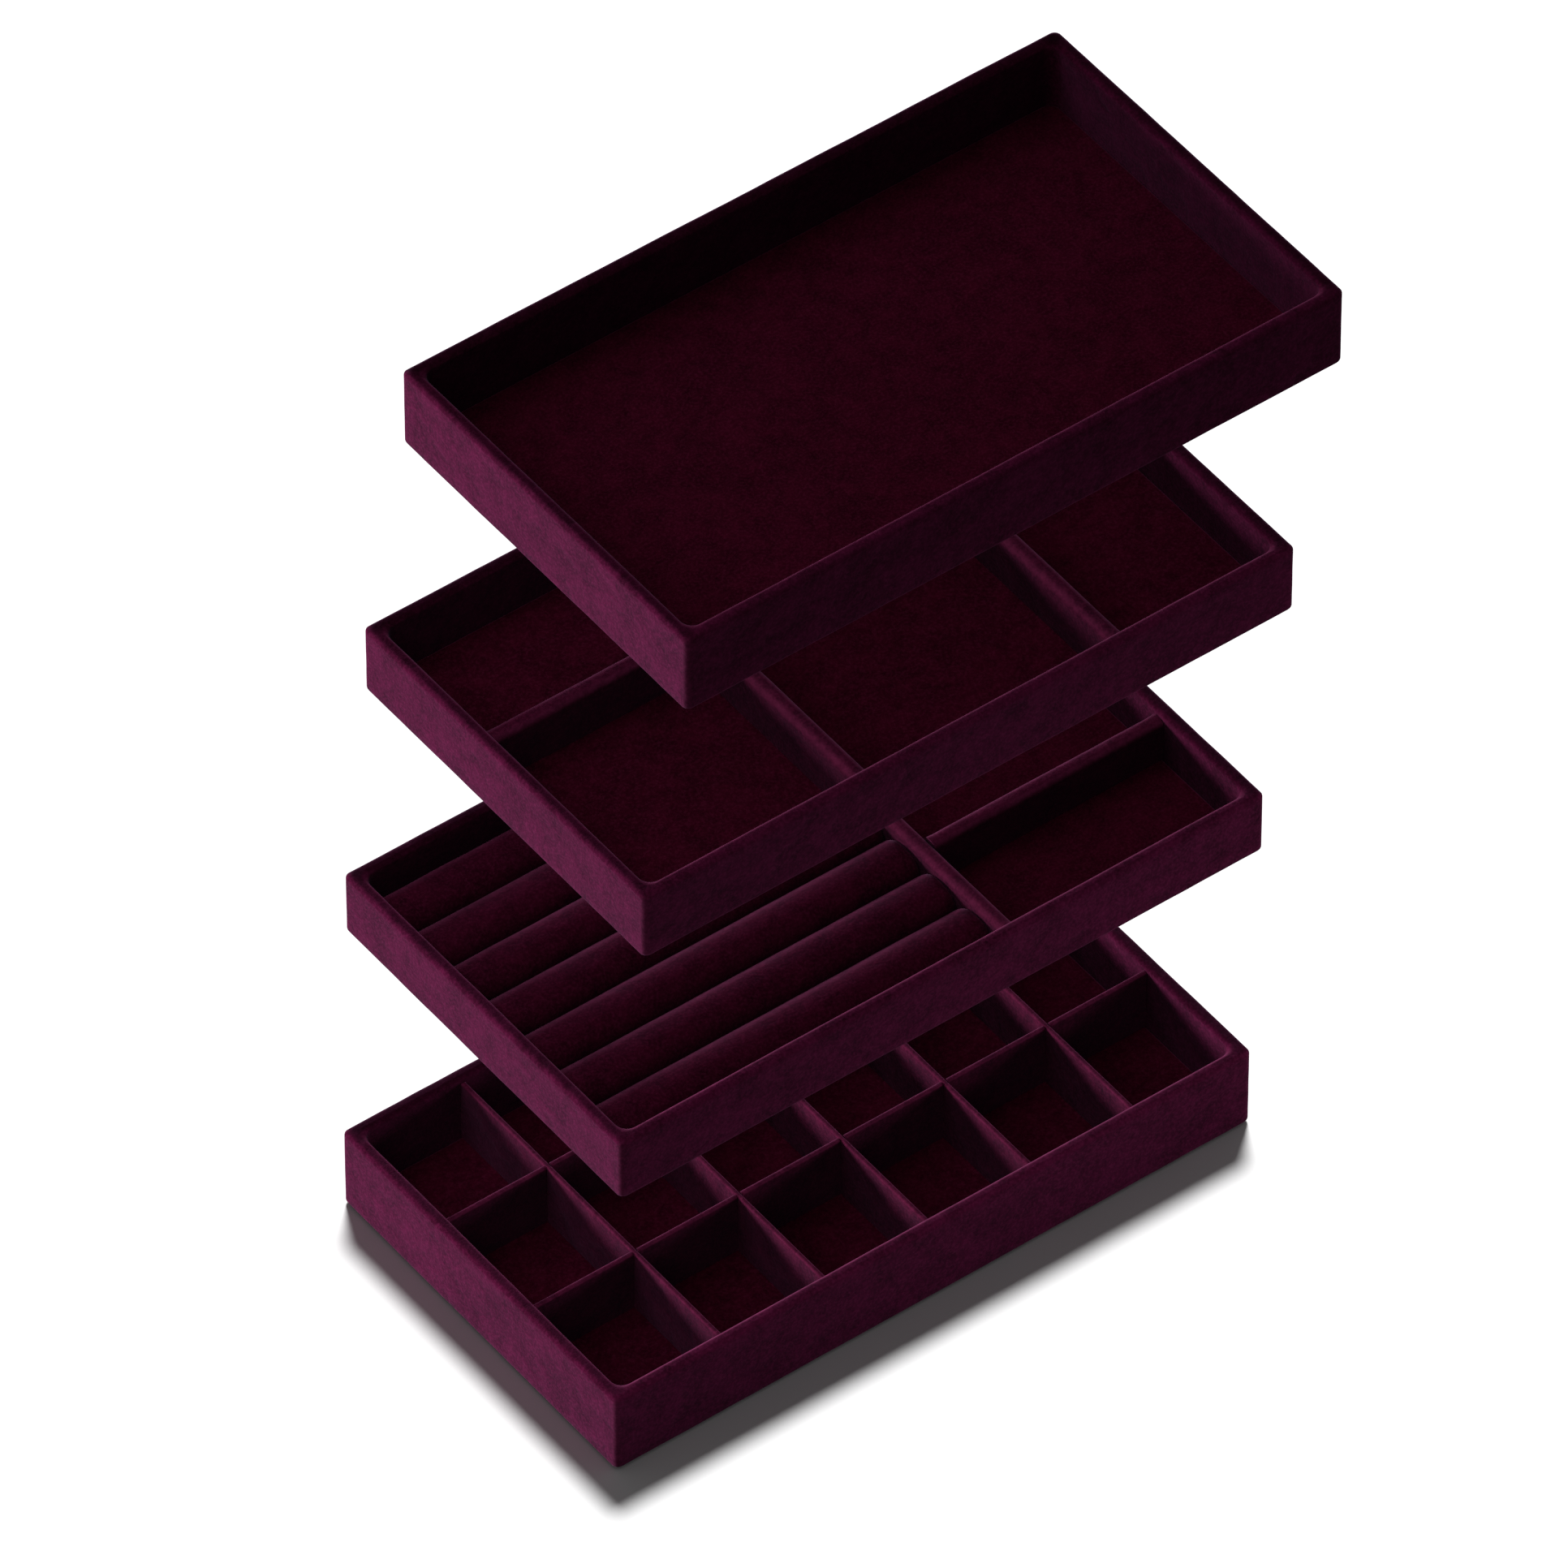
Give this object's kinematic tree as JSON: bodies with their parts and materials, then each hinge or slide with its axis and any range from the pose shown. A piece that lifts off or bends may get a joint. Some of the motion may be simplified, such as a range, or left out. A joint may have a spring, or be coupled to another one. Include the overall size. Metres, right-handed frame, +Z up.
{
  "type": "jewelry tray set",
  "caption": "Stacking rectangular jewelry trays in plum velvet over board: one open, one sectioned, one with ring rolls, one with a grid of small cells.",
  "frame": {"origin": "on the surface the set stands on, under the middle of the whole set", "axes": "+Z up, the way the trays stack and lift; +X along the trays' long side, ring rolls towards -X; +Y to the back"},
  "size_m": [0.3048, 0.1718, 0.4059],
  "materials": {
    "velvet": "deep plum velvet, short dense pile",
    "velvet_lining": "plum velvet on the floor panels",
    "velvet_divider": "plum velvet over divider boards",
    "velvet_roll": "plum velvet over foam ring rolls",
    "board": "raw fibreboard, hidden under the velvet",
    "felt": "plum felt under the bases"
  },
  "bodies": {
    "grid_tray": {"grid_tray_base_board": "board", "grid_tray_front_wall": "board", "grid_tray_back_wall": "board", "grid_tray_left_wall": "board", "grid_tray_right_wall": "board", "grid_tray_velvet_wrap": "velvet", "grid_tray_floor_panel": "velvet_lining", "grid_tray_base_felt": "felt", "grid_row_divider_1": "velvet_divider", "grid_row_divider_2": "velvet_divider", "grid_column_divider_1": "velvet_divider", "grid_column_divider_2": "velvet_divider", "grid_column_divider_3": "velvet_divider", "grid_column_divider_4": "velvet_divider", "grid_column_divider_5": "velvet_divider"},
    "ring_tray": {"ring_tray_base_board": "board", "ring_tray_front_wall": "board", "ring_tray_back_wall": "board", "ring_tray_left_wall": "board", "ring_tray_right_wall": "board", "ring_tray_velvet_wrap": "velvet", "ring_tray_floor_panel": "velvet_lining", "ring_tray_base_felt": "felt", "ring_cross_divider": "velvet_divider", "ring_roll_1": "velvet_roll", "ring_roll_2": "velvet_roll", "ring_roll_3": "velvet_roll", "ring_roll_4": "velvet_roll", "ring_roll_5": "velvet_roll", "ring_roll_6": "velvet_roll", "ring_roll_7": "velvet_roll", "ring_long_divider_1": "velvet_divider", "ring_long_divider_2": "velvet_divider"},
    "section_tray": {"section_tray_base_board": "board", "section_tray_front_wall": "board", "section_tray_back_wall": "board", "section_tray_left_wall": "board", "section_tray_right_wall": "board", "section_tray_velvet_wrap": "velvet", "section_tray_floor_panel": "velvet_lining", "section_tray_base_felt": "felt", "section_cross_divider_1": "velvet_divider", "section_cross_divider_2": "velvet_divider", "section_long_divider_left": "velvet_divider", "section_long_divider_middle": "velvet_divider", "section_long_divider_right": "velvet_divider"},
    "necklace_tray": {"necklace_tray_base_board": "board", "necklace_tray_front_wall": "board", "necklace_tray_back_wall": "board", "necklace_tray_left_wall": "board", "necklace_tray_right_wall": "board", "necklace_tray_velvet_wrap": "velvet", "necklace_tray_floor_panel": "velvet_lining", "necklace_tray_base_felt": "felt"}
  },
  "joints": [
    {"name": "ring_tray_lift", "type": "slide", "parent": "grid_tray", "child": "ring_tray", "axis": [0.0196, -0.0147, 0.9997], "range_m": [-0.10203, 0]},
    {"name": "section_tray_lift", "type": "slide", "parent": "ring_tray", "child": "section_tray", "axis": [0.0939, -0.0347, 0.995], "range_m": [-0.08945, 0]},
    {"name": "necklace_tray_lift", "type": "slide", "parent": "section_tray", "child": "necklace_tray", "axis": [0.1667, -0.0602, 0.9842], "range_m": [-0.08637, 0]}
  ]
}
